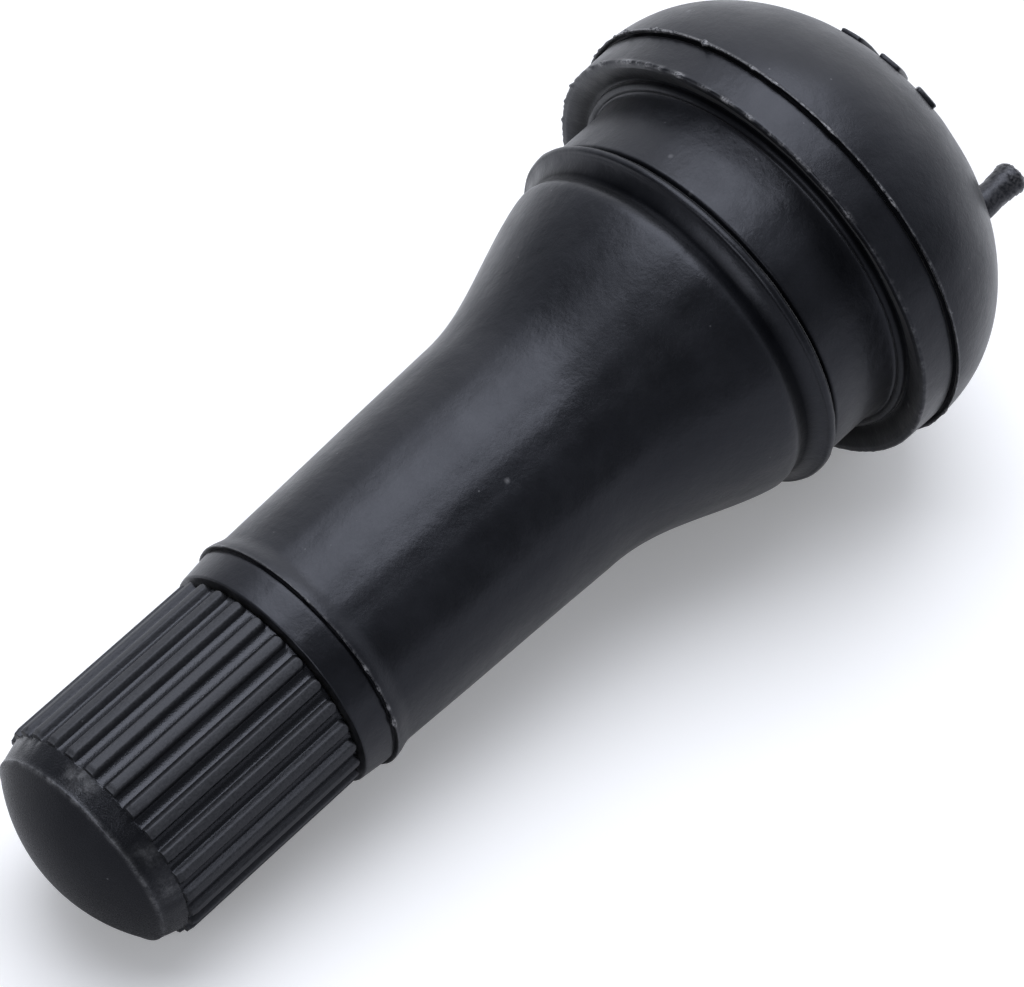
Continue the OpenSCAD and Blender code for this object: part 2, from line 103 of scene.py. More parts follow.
# The rubber's flash, dip before the collar, crest on it, slow unevenness and the dish's painted shade
FLASH_SKIN, FLASH_TORN, FLASH_FINE_W, FLASH_WIDE_W, FLASH_AT = 0.012, 0.05, 0.05, 0.08, np.radians(25.0)
DIP_DEPTH, DIP_AT, DIP_W = 0.26, CREASE_Z + 0.15, 0.34
CREST_H, CREST_PLACE, CREST_W = 0.12, (COLLAR_R - 0.14, COLLAR_Z + 0.32), 0.22
SWAY, SWAY_PER_MM, RUFFLE = 0.014, 0.9, 0.008
DISH_PLACE, DISH_W = (BEAD_RING_R + 0.45, -0.25), 0.5
# The cap's open end, its bore's ends, its ribs' soft edges and wear, and its dome's edge and ring
CAP_OPEN_Z, CAP_RIM_R, CAP_MOUTH_W = CAP_LOW - 0.09, 0.05, 0.15
BORE_LOW, BORE_TOP = CAP_LOW + 0.3, 32.9
RIB_END, RIB_SOFT, RIB_SPREAD, RIB_CAMBER = 0.2, 0.17, 0.03, 0.04
RIB_WORN_LEAST, RIB_WORN_MOST, RIB_WORN_FROM, RIB_WORN_EASE = 0.02, 0.09, RIB_TOP - 0.26, 0.24
DOME_EDGE_H, DOME_EDGE_SLOPE, DOME_EDGE_BULGE, DOME_EDGE_W = 0.1, 0.04, 0.03, 0.09
RING_LUMP, RING_CHIP, RING_W, RING_FOOT_W = 0.012, 0.05, 0.4, 0.16

RUBBER_COLS, NIB_COLS, BAR_COLS, BRASS_COLS = 304, 28, 36, 168
SHARP_ANGLE = np.radians(52)
NO_TRIANGLES = np.zeros((0, 3), int)


def laid(points):
    """Points in mm (x up, y sideways, z along the valve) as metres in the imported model's frame:
    x along UP, y along SIDE and z along AXIS."""
    return points @ np.stack([UP, SIDE, AXIS]) * MM


def round_angles(count):
    """Angles of a count of columns, evenly once round."""
    return np.linspace(0, ROUND, count, endpoint=False)


def ring_points(radius, height, angle):
    """Points of a turned surface: radius times the cosine and sine of the angle, and the height."""
    radius, height, angle = np.broadcast_arrays(radius, height, angle)
    return np.stack([radius * np.cos(angle), radius * np.sin(angle), height], axis=-1)


def grid_quads(rows, cols, closed_rows=False):
    """Quads of a grid of points whose columns go once round. They face outwards where the rows run
    up an outer wall. closed_rows also joins the last row to the first."""
    row, col = np.meshgrid(np.arange(rows if closed_rows else rows - 1), np.arange(cols), indexing="ij")
    low, high, right = row * cols, (row + 1) % rows * cols, (col + 1) % cols
    return np.stack([low + col, low + right, high + right, high + col], axis=-1).reshape(-1, 4)


def pole_fans(rows, cols):
    """Triangles that close the first and the last row of a grid to two more points, which come
    right after the grid's own: the pole before the first row, then the pole past the last."""
    here, right, last = np.arange(cols), (np.arange(cols) + 1) % cols, (rows - 1) * cols
    before, past = np.full(cols, rows * cols), np.full(cols, rows * cols + 1)
    return np.concatenate([
        np.column_stack([before, right, here]),
        np.column_stack([past, last + here, last + right])])


def joined(*shells):
    """Shells of (points, quads, triangles) as the arrays of one mesh: the numbers of each shell's
    points start after the points of the shells before it."""
    points, quads, triangles = zip(*shells)
    first = np.cumsum([0, *map(len, points[:-1])])
    return (
        np.concatenate(points), np.concatenate([faces + at for faces, at in zip(quads, first)]),
        np.concatenate([faces + at for faces, at in zip(triangles, first)]))


def smooth(share):
    """Eases a share from 0 to 1 with level ends: 3 s squared minus 2 s cubed."""
    share = np.clip(share, 0, 1)
    return share * share * (3 - 2 * share)


def fall(share):
    """A cosine fall from 1 to 0."""
    return (1 + np.cos(np.pi * share)) / 2


def straight(start, end, count):
    """A count of mesh rows on a straight line, evenly from its start, without its end."""
    return np.linspace(start, end, count, endpoint=False)


def chain(*stops):
    """Mesh rows on straight lines from stop to stop, without the last stop. Each stop is a point
    and the count of rows up to the next."""
    return np.concatenate([
        straight(here, there, count) for (here, count), (there, _) in zip(stops, stops[1:])])


def arc(centre, size, start, end, count):
    """A count of mesh rows on an ellipse about a centre, from one angle to another in degrees,
    without the end."""
    angle = np.radians(straight(start, end, count))
    return np.column_stack([centre[0] + size[0] * np.cos(angle), centre[1] + size[1] * np.sin(angle)])


def ripple(angle, slowest, fastest, seed):
    """Random closed ripple of one turn, about -1 to 1: cosines of every whole wave number from the
    slowest to the fastest, with drawn sizes and phases, over twice their common deviation."""
    draw = np.random.default_rng(seed)
    waves = np.arange(slowest, fastest + 1)
    size, phase = draw.normal(size=len(waves)), draw.uniform(0, ROUND, len(waves))
    total = (size[:, None] * np.cos(np.outer(waves, angle) + phase[:, None])).sum(axis=0)
    return total / (2 * np.sqrt((size ** 2).sum() / 2))


def peaks(angle, slowest, fastest, seed):
    """The upper half of a random ripple, and 0 elsewhere."""
    return np.clip(ripple(angle, slowest, fastest, seed), 0, None)


def outward(line):
    """Unit normals of a closed outline of (radius, height) points: the central difference of its
    points, turned by a right angle away from the solid."""
    step = np.roll(line, -1, axis=0) - np.roll(line, 1, axis=0)
    normal = np.column_stack([step[:, 1], -step[:, 0]])
    return normal / np.maximum(np.linalg.norm(normal, axis=1, keepdims=True), 1e-9)


def near(line, radius, height, width):
    """Bell over the rows of an outline about one place, as a column: e to the minus squared
    distance over squared width."""
    gap = (line[:, :1] - radius) ** 2 + (line[:, 1:] - height) ** 2
    return np.exp(-gap / width ** 2)


def new_piece(name, shell, body, slot_name, *nodes, **marks):
    """Makes one mesh piece from a shell's arrays, in place of CAD nodes, riding on a body. Each mark
    is an attribute with a number per point, which the piece's material reads."""
    points, quads, triangles = shell
    mesh = bpy.data.meshes.new(name)
    corners = np.concatenate([quads.ravel(), triangles.ravel()]).astype(np.int32)
    sizes = np.repeat([4, 3], [len(quads), len(triangles)])
    mesh.vertices.add(len(points))
    mesh.vertices.foreach_set("co", laid(points).astype(np.float32).ravel())
    mesh.loops.add(len(corners))
    mesh.loops.foreach_set("vertex_index", corners)
    mesh.polygons.add(len(sizes))
    mesh.polygons.foreach_set("loop_start", (np.cumsum(sizes) - sizes).astype(np.int32))
    mesh.polygons.foreach_set("use_smooth", np.ones(len(sizes), bool))
    mesh.update(calc_edges=True)
    mesh.validate()
    mesh.set_sharp_from_angle(angle=SHARP_ANGLE)
    for mark, values in marks.items():
        attribute = mesh.attributes.new(mark, "FLOAT", "POINT")
        attribute.data.foreach_set("value", values.astype(np.float32))
    piece = bpy.data.objects.new(name, mesh)
    bpy.context.scene.collection.objects.link(piece)
    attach(piece, body)
    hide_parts(*nodes)
    return piece


def shank_line():
    """The brass in the rubber from its foot up: a foot, a slope to the shank and grip grooves."""
    low = FOOT_Z + FOOT_H + GROOVE_W + GROOVE_PITCH * np.arange(GROOVE_COUNT)[:, None]
    depth = np.tile([0, GROOVE_DEPTH, GROOVE_DEPTH, 0], GROOVE_COUNT)
    height = low + np.array([0, GROOVE_SLOPE, GROOVE_W - GROOVE_SLOPE, GROOVE_W])
    foot = [[FOOT_R, FOOT_Z], [FOOT_R, FOOT_Z + FOOT_H], [SHANK_R, FOOT_Z + FOOT_H + FOOT_RISE]]
    return np.concatenate([foot, np.column_stack([SHANK_R - depth, height.ravel()])])


def dome_height(radius):
    """Height of the dome over a radius: a superellipse, so that the two shares, each raised to the
    dome's fullness, add up to 1."""
    return -SIDE_H - DOME_H * (1 - (radius / HEAD_R) ** DOME_FULLNESS) ** (1 / DOME_FULLNESS)


def head_line():
    """Outline of the head from its flat base: the dome, its lip over the side, the side, the round
    edge of the underside, a narrow land, the shallow dish, the bead and the trumpet to the neck.
    Rows lie closer where flash or a slit follows."""
    base_share = -(BASE_Z + SIDE_H) / DOME_H
    dome_end = np.arcsin(base_share ** (DOME_FULLNESS / 2))
    lip_turn = 0.02
    turn = chain((dome_end, 56), (lip_turn, 9), (0, 0))
    dome = np.column_stack([
        HEAD_R * np.cos(turn) ** (2 / DOME_FULLNESS),
        -SIDE_H - DOME_H * np.sin(turn) ** (2 / DOME_FULLNESS)])
    lip_foot, foot_share, edge_share = [HEAD_R - LIP_STEP, -SIDE_H], 0.1, 0.88
    share = chain((0, 6), (foot_share, 9), (edge_share, 6), (1, 0))[:, None]
    side = (1 - share) * lip_foot + share * [UNDERSIDE_R, -EDGE_R]
    land = UNDERSIDE_R - EDGE_R
    bead_out, bead_z, turned = BEAD_RING_R + BEAD_R, -BEAD_R - BEAD_SINK, np.radians(BEAD_TURN)
    flare_r, flare_z = BEAD_RING_R + BEAD_R * np.cos(turned), bead_z + BEAD_R * np.sin(turned)
    back_z, slit_room = COLLAR_Z - COLLAR_BACK, 0.4
    return np.concatenate([
        straight([PORT_R + PORT_BEVEL, BASE_Z], dome[0], 6), dome,
        straight([HEAD_R, -SIDE_H], lip_foot, 7), side,
        arc([land, -EDGE_R], [EDGE_R, EDGE_R], 0, 90, 8),
        chain(([land, 0], 4), ([land - LAND_W, 0], 9), ([bead_out + DISH_FLAT, -DISH_DEPTH], 3),
              ([bead_out, -DISH_DEPTH], 2), ([bead_out, bead_z], 0)),
        arc([BEAD_RING_R, bead_z], [BEAD_R, BEAD_R], 0, BEAD_TURN, 12),
        arc([flare_r, flare_z + TRUMPET_H], [flare_r - NECK_R, TRUMPET_H], 270, 180, 14),
        chain(([NECK_R, flare_z + TRUMPET_H], 6), ([NECK_R, back_z - slit_room], 10),
              ([NECK_R, back_z], 0))])


def stem_line():
    """Outline from the collar to the rubber's end: a steep back, a narrow round crown, a hollow
    quarter-ellipse front, the flare, a cosine, the slim stem, its lip, the step and the band."""
    crown_r, crown_to = COLLAR_R - CROWN_R, np.radians(CROWN_TO)
    crown = arc([crown_r, COLLAR_Z], [CROWN_R, CROWN_R], CROWN_FROM, CROWN_TO, 14)
    front_r, front_z = crown_r + CROWN_R * np.cos(crown_to), COLLAR_Z + CROWN_R * np.sin(crown_to)
    turn = straight(0, np.pi / 2, 16)
    front = np.column_stack([
        front_r - (front_r - CREASE_R) * np.sin(turn), CREASE_Z - (CREASE_Z - front_z) * np.cos(turn)])
    dip_share = 0.18
    share = chain((0, 10), (dip_share, 22), (1, 0))
    flare = np.column_stack([
        STEM_LOW_R + (CREASE_R - STEM_LOW_R) * fall(FLARE_HIDDEN + (1 - FLARE_HIDDEN) * share)
        / fall(FLARE_HIDDEN), CREASE_Z + FLARE_LEN * share])
    swell = 1 - (1 - straight(0, 1, 12)) ** 2
    lip = np.column_stack([
        STEM_TOP_R + (LIP_R - STEM_TOP_R) * fall(1 - swell), STEP_Z - LIP_LEN * (1 - swell)])
    return np.concatenate([
        straight([NECK_R, COLLAR_Z - COLLAR_BACK], crown[0], 4), crown, front, flare,
        straight([STEM_LOW_R, CREASE_Z + FLARE_LEN], [STEM_TOP_R, STEP_Z - LIP_LEN], 16), lip,
        chain(([LIP_R, STEP_Z], 4), ([BAND_LOW_R, STEP_Z], 4), ([BAND_LOW_R, STEP_Z + BAND_FOOT], 8),
              ([BAND_TOP_R, BAND_Z - BAND_ROUND], 0)),
        arc([BAND_TOP_R - BAND_ROUND, BAND_Z - BAND_ROUND], [BAND_ROUND, BAND_ROUND], 0, 90, 5),
        straight([BAND_TOP_R - BAND_ROUND, BAND_Z], [SHANK_R, BAND_Z], 4)])


def rubber_line():
    """Closed outline of the moulded rubber: the head, the stem, and back down round the brass and
    through the air passage."""
    return np.concatenate([
        head_line(), stem_line(), [[SHANK_R, BAND_Z]], shank_line()[::-1],
        chain(([PORT_R, FOOT_Z], 4), ([PORT_R, BASE_Z + PORT_BEVEL], 3),
              ([PORT_R + PORT_BEVEL, BASE_Z], 0))])


def raised_bars():
    """Plain raised bars on the dome, in two groups opposite each other, as closed shells: rings of
    a squared oval, from under the dome's surface over a rounded edge to a flat top, each point moved
    out along the dome's normal."""
    group = BAR_FIRST - BAR_APART * np.arange(BARS_IN_GROUP)
    angle = np.concatenate([group, group + np.pi])[:, None]
    turn, squared = round_angles(BAR_COLS), 2 / 9
    edge = np.array([
        [0, -BAR_SUNK], [0, 0.02], [0, 0.12], [0.03, 0.155], [0.08, BAR_H], [BAR_EDGE, BAR_H]])
    inset, poles = edge[:, :1], [0, 0]
    across = (BAR_HALF_W - inset) * np.sign(np.cos(turn)) * np.abs(np.cos(turn)) ** squared
    along = (BAR_HALF_LEN - inset) * np.sign(np.sin(turn)) * np.abs(np.sin(turn)) ** squared
    across, radius = np.append(across, poles), BAR_MIDDLE_R + np.append(along, poles)
    height = np.append(np.repeat(edge[:, 1], BAR_COLS), [-BAR_SUNK, BAR_H])
    out = (radius / HEAD_R) ** (DOME_FULLNESS - 1) / HEAD_R
    below = ((-SIDE_H - dome_height(radius)) / DOME_H) ** (DOME_FULLNESS - 1) / DOME_H
    length = np.hypot(out, below)
    bars = ring_points(
        radius + height * out / length, dome_height(radius) - height * below / length,
        angle + across / radius)
    quads, fans = grid_quads(len(edge), BAR_COLS), pole_fans(len(edge), BAR_COLS)
    return joined(*((bar, quads, fans) for bar in bars))


def vent_nib():
    """The nib that the mould's vent leaves on the dome: a pin along the axis with a slight waist and
    a rounded, roughly cut end, its radius and its end shaken by ripples. Gives its closed shell and
    how torn it is, per point."""
    angle = round_angles(NIB_COLS)
    end, first_r, first_seed, pale = BASE_Z - NIB_DROP, 0.12, 40, 0.3
    radius_shake, end_shake, tear_len, least_tear = 0.045, 0.07, 0.5, 0.4
    line = np.concatenate([
        straight([first_r, end], [NIB_R - NIB_ROUND, end], 6),
        arc([NIB_R - NIB_ROUND, end + NIB_ROUND], [NIB_ROUND, NIB_ROUND], -90, 0, 6),
        chain(([NIB_R, end + NIB_ROUND], 10), ([NIB_R - NIB_WAIST, end + NIB_WAIST_AT], 12),
              ([NIB_R, end + NIB_LEN], 0))])
    shake = np.stack([ripple(angle, 2, 11, first_seed + row) for row in range(len(line))])
    tear = least_tear + (1 - least_tear) * np.exp(-((line[:, 1:] - end) / tear_len) ** 2)
    pin = ring_points(
        line[:, :1] * (1 + radius_shake * shake), line[:, 1:] + end_shake * shake * tear, angle)
    points = np.concatenate([pin.reshape(-1, 3), [[0, 0, end], [0, 0, end + NIB_LEN]]])
    points += [NIB_OFFSET * np.cos(NIB_ANGLE), NIB_OFFSET * np.sin(NIB_ANGLE), 0]
    shell = points, grid_quads(len(line), NIB_COLS), pole_fans(len(line), NIB_COLS)
    return shell, np.append(np.repeat(pale * tear, NIB_COLS), [pale, 0])


def mould_flash(line, angle):
    """Height of the torn flash over the rubber's outline and round the turn: a bell about each mould
    line times its ragged edge. At the head it is heaviest on the upper side."""
    edge_in, crown_back, least, edge_rise, edge_shred, step_share = 0.03, 0.08, 0.4, 0.9, 1.2, 0.8
    lump, ragged = peaks(angle, 3, 60, 5) ** 2, peaks(angle, 2, 40, 8) ** 2
    shred, crumb = peaks(angle, 20, 140, 6) ** 2, peaks(angle, 30, 150, 7)
    upper = fall((angle - FLASH_AT) / np.pi)
    near_top, upper_side = upper ** 8, upper ** 3
    lip = FLASH_SKIN + FLASH_TORN * (lump + shred + near_top * (least + shred))
    edge = FLASH_TORN * (crumb + edge_shred * shred) * (least + edge_rise * upper_side)
    step = FLASH_SKIN + step_share * FLASH_TORN * ragged[::-1]
    return (
        near(line, HEAD_R, -SIDE_H, FLASH_FINE_W) * lip
        + near(line, UNDERSIDE_R - edge_in, -edge_in, FLASH_WIDE_W) * edge
        + near(line, COLLAR_R, COLLAR_Z - crown_back, FLASH_WIDE_W) * FLASH_SKIN * ragged
        + near(line, LIP_R, STEP_Z, FLASH_FINE_W) * step)


def mould_slits(line):
    """Depth of the fine slits at the lip's foot, behind the collar and at the step: a bell each."""
    slits = (
        (0.1, HEAD_R - LIP_STEP, -SIDE_H + 0.02, 0.07),
        (0.14, NECK_R, COLLAR_Z - COLLAR_BACK - 0.03, 0.08),
        (0.06, BAND_LOW_R, STEP_Z + 0.02, 0.06))
    return sum(depth * near(line, radius, height, width) for depth, radius, height, width in slits)


def make_rubber():
    """The rubber skin: the outline turned once round and moved along its normals by the torn flash
    at the mould lines, the slits beside them, a dip before the collar, a crest on it and a slow
    unevenness. The vent nib and the raised bars are further closed shells of the same mesh. Marks
    give how torn the rubber is, and where shade is painted by dulling the gloss: in slits, the dip
    and the dish."""
    port_room, brass_room, dip_reach, full_flash = 0.9, 0.75, 0.2, 0.06
    slit_full_shade, dip_shade, dip_shade_len, dish_shade = 0.08, 1.1, 1.2, 0.8
    angle = round_angles(RUBBER_COLS) + RUBBER_TURN
    line = rubber_line()
    radius, height, normal = line[:, :1], line[:, 1:], outward(line)
    outer = (radius > PORT_R + port_room) & ((radius > SHANK_R + brass_room) | (height < 0))
    flash, slits = mould_flash(line, angle), mould_slits(line)
    dip = np.exp(-((height - DIP_AT) / DIP_W) ** 2) * (radius < CREASE_R + dip_reach)
    crest = near(line, *CREST_PLACE, CREST_W)
    sway, ruffle = ripple(angle, 2, 14, 9) * np.sin(height * SWAY_PER_MM), ripple(angle, 5, 30, 10)
    raised = flash + SWAY * sway + RUFFLE * ruffle + CREST_H * crest
    move = (raised - slits - DIP_DEPTH * dip) * outer
    # Painted shade: the slits, the dip and the dish are marked to lose their gloss, so that they render
    # darker, as shade would make them.
    painted_shade = (
        slits / slit_full_shade + dip_shade * dip * fall((height - CREASE_Z) / dip_shade_len)
        + dish_shade * near(line, *DISH_PLACE, DISH_W))
    points = ring_points(radius + normal[:, :1] * move, height + normal[:, 1:] * move, angle)
    skin = points.reshape(-1, 3), grid_quads(len(line), RUBBER_COLS, True), NO_TRIANGLES
    (nib, nib_torn), bars = vent_nib(), raised_bars()
    clean_nib, clean_bars = np.zeros(len(nib[0])), np.zeros(len(bars[0]))
    torn = np.concatenate([np.clip(flash / full_flash, 0, 1).ravel(), nib_torn, clean_bars])
    deep = np.broadcast_to(np.clip(painted_shade, 0, 1) * outer, flash.shape)
    return new_piece(
        "rubber_skin", joined(skin, nib, bars), "valve", "rubber", "rubber_body",
        flash=torn, grime=np.concatenate([deep.ravel(), clean_nib, clean_bars]))


def thread(height, angle, pitch, low, high):
    """A right-hand V thread: the triangle wave of height over pitch less turns, with a narrow flat
    at crest and root, and the share of it that is left where it eases in and out at the two ends."""
    flat, ease_in, ease_out = 0.12, 0.7 * pitch, 0.5 * pitch
    phase = (height / pitch - angle / ROUND) % 1
    wave = np.clip((np.abs(phase - 0.5) * 2 - flat) / (1 - 2 * flat), 0, 1)
    return wave, smooth((height - low) / ease_in) * smooth((high - height) / ease_out)


def stretch_numbers(stretches):
    """For each row of an outline that is made of stretches, the number of its stretch, as a column."""
    return np.repeat(np.arange(len(stretches)), [len(rows) for rows in stretches])[:, None]


def cap_stretches():
    """Outline of the cap in five stretches: the inner roof from near its pole, the bore, the mouth
    round the open end, the skirt that carries the ribs, and the crown, which is the bevelled ring,
    the dome's edge and the low dome, a circle's arc."""
    groove_r = RIB_R - RIB_DEPTH
    first_r, last_angle, end_room, ring_room, gap = 0.3, 89.4, 0.95, 0.4, 0.02
    dome_r = (BEVEL_R ** 2 + CAP_DOME_H ** 2) / (2 * CAP_DOME_H)
    dome_centre, dome_size = [0, BEVEL_TOP + CAP_DOME_H - dome_r], [dome_r, dome_r]
    dome_from, close = 90 - np.degrees(np.arcsin(BEVEL_R / dome_r)), 2.4
    roof = chain(
        ([first_r, HOLLOW_TOP], 4), ([HOLLOW_R, HOLLOW_TOP], 3), ([HOLLOW_R, ROOF_Z], 3),
        ([CAP_BORE_R, ROOF_Z], 2), ([CAP_BORE_R, BORE_TOP], 0))
    bore = straight([CAP_BORE_R, BORE_TOP], [CAP_BORE_R, BORE_LOW], 72)
    mouth = np.concatenate([
        chain(([CAP_BORE_R, BORE_LOW], 3), ([CAP_BORE_R + CAP_MOUTH_W, CAP_OPEN_Z], 3),
              ([groove_r - CAP_RIM_R, CAP_OPEN_Z], 0)),
        arc([groove_r - CAP_RIM_R, CAP_OPEN_Z + CAP_RIM_R], [CAP_RIM_R, CAP_RIM_R], -90, 0, 5)])
    heights = np.append(
        chain((CAP_OPEN_Z + CAP_RIM_R, 20), (CAP_OPEN_Z + end_room, 12), (RIB_TOP - ring_room, 8),
              (RIB_TOP - gap, 0)), RIB_TOP - gap)
    skirt = np.column_stack([np.full(len(heights), groove_r), heights])
    edge_low = [BEVEL_R + DOME_EDGE_SLOPE, BEVEL_TOP - DOME_EDGE_H]
    crown = np.concatenate([
        [[BEVEL_LOW_R, RIB_TOP]],
        chain(([BEVEL_LOW_R - 0.01, RIB_TOP + 0.04], 8), (edge_low, 5), ([BEVEL_R, BEVEL_TOP], 0)),
        arc(dome_centre, dome_size, dome_from, dome_from + close, 5),
        arc(dome_centre, dome_size, dome_from + close, last_angle, 24)])
    return roof, bore, mouth, skirt, crown


def make_cap():
    """The cap: its outline turned once round, with the thread standing in from the bore and the ribs
    standing out from the skirt. A rib is an eased band about its own line, round at the open end and
    cut square at the ring, where each is worn by a drawn depth. Ripples make the ring lumpy and chip
    its foot. Marks give the ribs, and where ring and dome's edge are rubbed pale."""
    half_steps = np.array([0, 0.1, 0.14, 0.175, 0.21, 0.245, 0.28, 0.315, 0.5])
    steps = np.concatenate([half_steps, 1 - half_steps[-2:0:-1]])
    rib_pitch, half_w = ROUND / RIB_COUNT, RIB_W / 2
    angle = ((np.arange(RIB_COUNT)[:, None] + 0.5 + steps) * rib_pitch).ravel()
    across = np.tile(np.minimum(steps, 1 - steps), RIB_COUNT) * rib_pitch * RIB_R
    stretches = cap_stretches()
    line, number = np.concatenate(stretches), stretch_numbers(stretches)
    on_bore, on_skirt, on_crown = number == 1, number == 3, number == 4
    height, outer = line[:, 1:], on_skirt | on_crown
    wave, ends = thread(height, angle + np.pi, PITCH, BORE_LOW, BORE_TOP)
    past_end = np.clip(CAP_OPEN_Z + RIB_START + RIB_END - height, 0, None) / RIB_END
    rib = smooth((half_w + RIB_SPREAD - np.hypot(across, past_end * half_w)) / RIB_SOFT) * on_skirt
    drawn = np.random.default_rng(21).uniform(RIB_WORN_LEAST, RIB_WORN_MOST, RIB_COUNT)
    worn = np.repeat(drawn, len(steps)) * smooth((height - RIB_WORN_FROM) / RIB_WORN_EASE)
    edge = near(line, BEVEL_R, BEVEL_TOP, DOME_EDGE_W)
    ring_foot = near(line, BEVEL_LOW_R, RIB_TOP, RING_FOOT_W) * on_crown
    ring = near(line, BEVEL_LOW_R - 0.1, RIB_TOP + 0.3, RING_W) * on_crown
    lumps = ripple(angle, 4, 40, 22) * near(line, BEVEL_LOW_R, RIB_TOP + RING_W, RING_W) * outer
    radius = (
        line[:, :1] - on_bore * THREAD_DEPTH * wave * ends
        + rib * (RIB_DEPTH - RIB_CAMBER * (across / half_w) ** 2 - worn)
        + DOME_EDGE_BULGE * edge + RING_LUMP * lumps
        - RING_CHIP * ring_foot * peaks(angle, 6, 60, 23) ** 2)
    ring_more, edge_mean, edge_swing = 0.1, 0.75, 0.5
    rubbed = (
        ring * np.clip(ripple(angle, 3, 24, 25) + ring_more, 0, 1)
        + edge * (edge_mean + edge_swing * ripple(angle, 3, 30, 24))) * outer
    poles = [[0, 0, HOLLOW_TOP], [0, 0, BEVEL_TOP + CAP_DOME_H]]
    points = np.concatenate([ring_points(radius, height, angle).reshape(-1, 3), poles])
    shell = points, grid_quads(len(line), len(angle)), pole_fans(len(line), len(angle))
    return new_piece(
        "cap_shell", shell, "cap", "cap_plastic", "cap",
        ridge=np.append(rib, [0, 0]), rubbed=np.append(rubbed, [0, 0]))


def make_brass():
    """The brass stem: foot, grooved shank, outer thread to the bevelled tip, and down its bore, with
    the core's thread cut outwards into it, over the sealing cone to the plain lower bore."""
    angle = round_angles(BRASS_COLS)
    thread_early, thread_past, core_late, core_past = 0.1, 0.3, 0.6, 0.2
    stretches = (
        straight([PORT_R, FOOT_Z], [FOOT_R, FOOT_Z], 3), shank_line(),
        straight([SHANK_R, THREAD_Z - (THREAD_R - SHANK_R)], [THREAD_R, THREAD_Z], 3),
        chain(([THREAD_R, THREAD_Z], 96), ([THREAD_R, TIP_Z - TIP_BEVEL], 5),
              ([THREAD_R - TIP_BEVEL, TIP_Z], 0)),
        chain(([THREAD_R - TIP_BEVEL, TIP_Z], 3), ([CORE_BORE_R + MOUTH_BEVEL, TIP_Z], 3),
              ([CORE_BORE_R, TIP_Z - MOUTH_BEVEL], 0)),
        straight([CORE_BORE_R, TIP_Z - MOUTH_BEVEL], [CORE_BORE_R, SEAT_TOP], 72),
        chain(([CORE_BORE_R, SEAT_TOP], 3), ([LOWER_BORE_R, SEAT_LOW], 12),
              ([LOWER_BORE_R, FOOT_Z + FOOT_H], 3), ([PORT_R, FOOT_Z], 0)))
    line, number = np.concatenate(stretches), stretch_numbers(stretches)
    on_outer, on_bore = number == 3, number == 5
    height = line[:, 1:]
    wave, ends = thread(height, angle, PITCH, THREAD_Z - thread_early, TIP_Z + thread_past)
    core_wave, core_ends = thread(height, angle, CORE_PITCH, SEAT_TOP + core_late, TIP_Z + core_past)
    root_r = THREAD_R - THREAD_DEPTH
    cut = np.minimum(THREAD_DEPTH * (1 - wave) * ends, np.clip(line[:, :1] - root_r, 0, None))
    radius = line[:, :1] - on_outer * cut + on_bore * CORE_THREAD_DEPTH * (1 - core_wave) * core_ends
    points = ring_points(radius, height, angle).reshape(-1, 3)
    shell = points, grid_quads(len(line), BRASS_COLS, True), NO_TRIANGLES
    return new_piece("brass_tube", shell, "valve", "brass", "brass_stem")


def feed(tree, socket, value):
    """Feeds an input: a socket is linked to it, and a number or colour becomes its own value."""
    if isinstance(value, bpy.types.NodeSocket):
        tree.links.new(value, socket)
    else:
        socket.default_value = value


def add_node(tree, kind, **inputs):
    """Adds a shader node and feeds its inputs by their names, with underscores for spaces."""
    made = tree.nodes.new("ShaderNode" + kind)
    for name, value in inputs.items():
        feed(tree, made.inputs[name.replace("_", " ")], value)
    return made


def new_finish(name, base, rough, **sockets):
    """Starts a material: a principled shader with its plain colour, roughness and other constants
    on its own sockets. Gives the material, its tree, the shader and Object coordinates in mm."""
    material = bpy.data.materials.new(name)
    material.use_nodes = True
    tree = material.node_tree
    shader = tree.nodes["Principled BSDF"]
    sockets.update(Base_Color=(*base, 1), Roughness=rough)
    for socket, value in sockets.items():
        shader.inputs[socket.replace("_", " ")].default_value = value
    place = add_node(tree, "TexCoord").outputs["Object"]
    in_mm = add_node(tree, "Mapping", Vector=place, Scale=(1 / MM, 1 / MM, 1 / MM))
    return material, tree, shader, in_mm.outputs["Vector"]


def noise(tree, place, scale, detail=3.0, rough=0.55):
    """Noise of Object space, with a scale per mm."""
    return add_node(
        tree, "TexNoise", Vector=place, Scale=scale, Detail=detail, Roughness=rough).outputs["Fac"]


def ramp(tree, factor, *stops):
    """Colour ramp of a factor through (place, colour or grey) stops."""
    made = add_node(tree, "ValToRGB", Fac=factor)
    elements = made.color_ramp.elements
    while len(elements) < len(stops):
        elements.new(0.5)
    for element, (place, colour) in zip(elements, stops):
        element.position = place
        element.color = (*np.broadcast_to(colour, 3), 1)
    return made.outputs["Color"]


def maths(tree, operation, *values):
    """One operation on sockets or numbers."""
    made = add_node(tree, "Math")
    made.operation = operation
    for socket, value in zip(made.inputs, values):
        feed(tree, socket, value)
    return made.outputs["Value"]


def dot(tree, place, direction):
    """Dot product of a place with a direction."""
    made = add_node(tree, "VectorMath")
    made.operation = "DOT_PRODUCT"
    feed(tree, made.inputs[0], place)
    feed(tree, made.inputs[1], direction)
    return made.outputs["Value"]


def blend_colour(tree, factor, under, over):
    """Mixes a colour over another by a factor."""
    made = add_node(tree, "Mix", Factor=factor)
    made.data_type = "RGBA"
    for name, value in (("A", under), ("B", over)):
        target = next(s for s in made.inputs if s.name == name and s.type == "RGBA")
        feed(tree, target, (*value, 1) if isinstance(value, tuple) else value)
    return next(s for s in made.outputs if s.type == "RGBA")


def mark(tree, name):
    """A number that the piece's mesh carries per point."""
    made = add_node(tree, "Attribute")
    made.attribute_name = name
    return made.outputs["Fac"]


